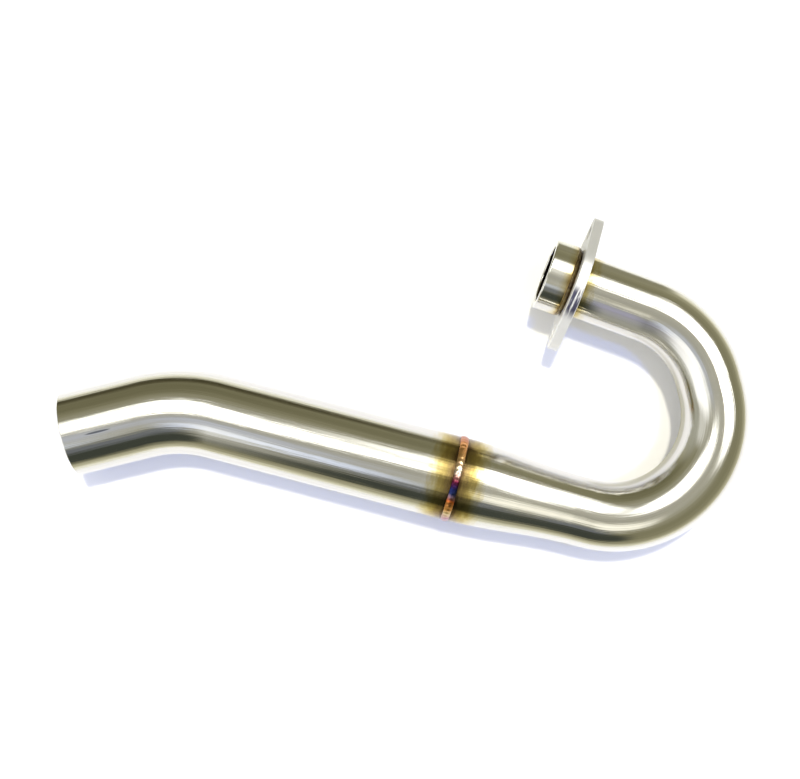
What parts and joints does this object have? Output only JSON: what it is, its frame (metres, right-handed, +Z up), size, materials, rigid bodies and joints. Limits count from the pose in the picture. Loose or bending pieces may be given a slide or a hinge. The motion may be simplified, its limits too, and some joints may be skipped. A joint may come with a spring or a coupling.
{
  "type": "motorcycle exhaust header",
  "caption": "Tubular exhaust header: turned port collar with a loose stud flange, tapered U-bend, cone, butt weld and angled outlet.",
  "frame": {"origin": "centre of the port collar's end face", "axes": "-X out of the collar, towards the engine's port; +X into the pipe; +Z up as the part lies; the U-bend turns to -Y"},
  "size_m": [0.3975, 0.2495, 0.059],
  "materials": {
    "polished_collar": "polished turned stainless steel",
    "collar_bead": "straw-tinted fillet weld",
    "polished_flange": "polished stainless plate",
    "head_tube": "satin polished stainless tube",
    "tinted_bead": "heat-tinted butt weld",
    "tail_tube": "satin polished stainless tube"
  },
  "bodies": {
    "pipe": {"port_collar": "polished_collar", "collar_weld": "collar_bead", "head_pipe": "head_tube", "mid_weld": "tinted_bead", "tail_pipe": "tail_tube"},
    "flange": {"port_flange": "polished_flange"}
  },
  "joints": [
    {"name": "flange_slide", "type": "slide", "parent": "pipe", "child": "flange", "axis": [1, 0, 0], "range_m": [0, 0.04]}
  ]
}
